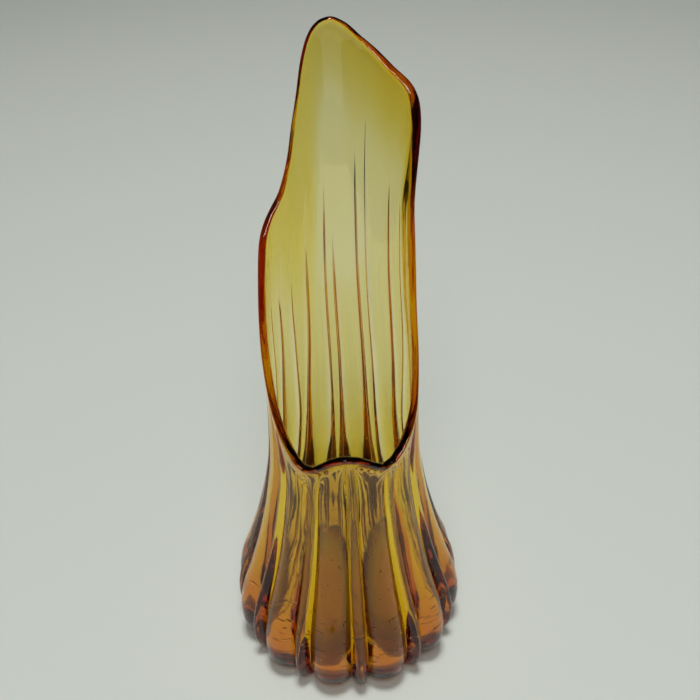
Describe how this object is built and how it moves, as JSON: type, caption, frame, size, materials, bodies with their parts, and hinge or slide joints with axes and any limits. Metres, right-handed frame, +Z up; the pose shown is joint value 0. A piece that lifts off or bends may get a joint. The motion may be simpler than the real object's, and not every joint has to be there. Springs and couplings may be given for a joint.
{
  "type": "swung vase",
  "caption": "Amber glass swung vase: a ribbed bulb on a flat base, drawn up into a tube with a steeply slanted mouth, low in front and tall behind.",
  "frame": {"origin": "centre of the flat resting face, on the surface that the vase stands on", "axes": "+Z up along the vase, -Y toward the low front lip, +X to the right of a viewer in front"},
  "size_m": [0.1222, 0.129, 0.3266],
  "materials": {
    "amber_glass": "clear, fire-polished"
  },
  "bodies": {
    "root": {"base_pad": "amber_glass", "ribbed_bulb": "amber_glass", "drawn_neck": "amber_glass", "swung_wall": "amber_glass", "rim_bead": "amber_glass"}
  },
  "joints": []
}
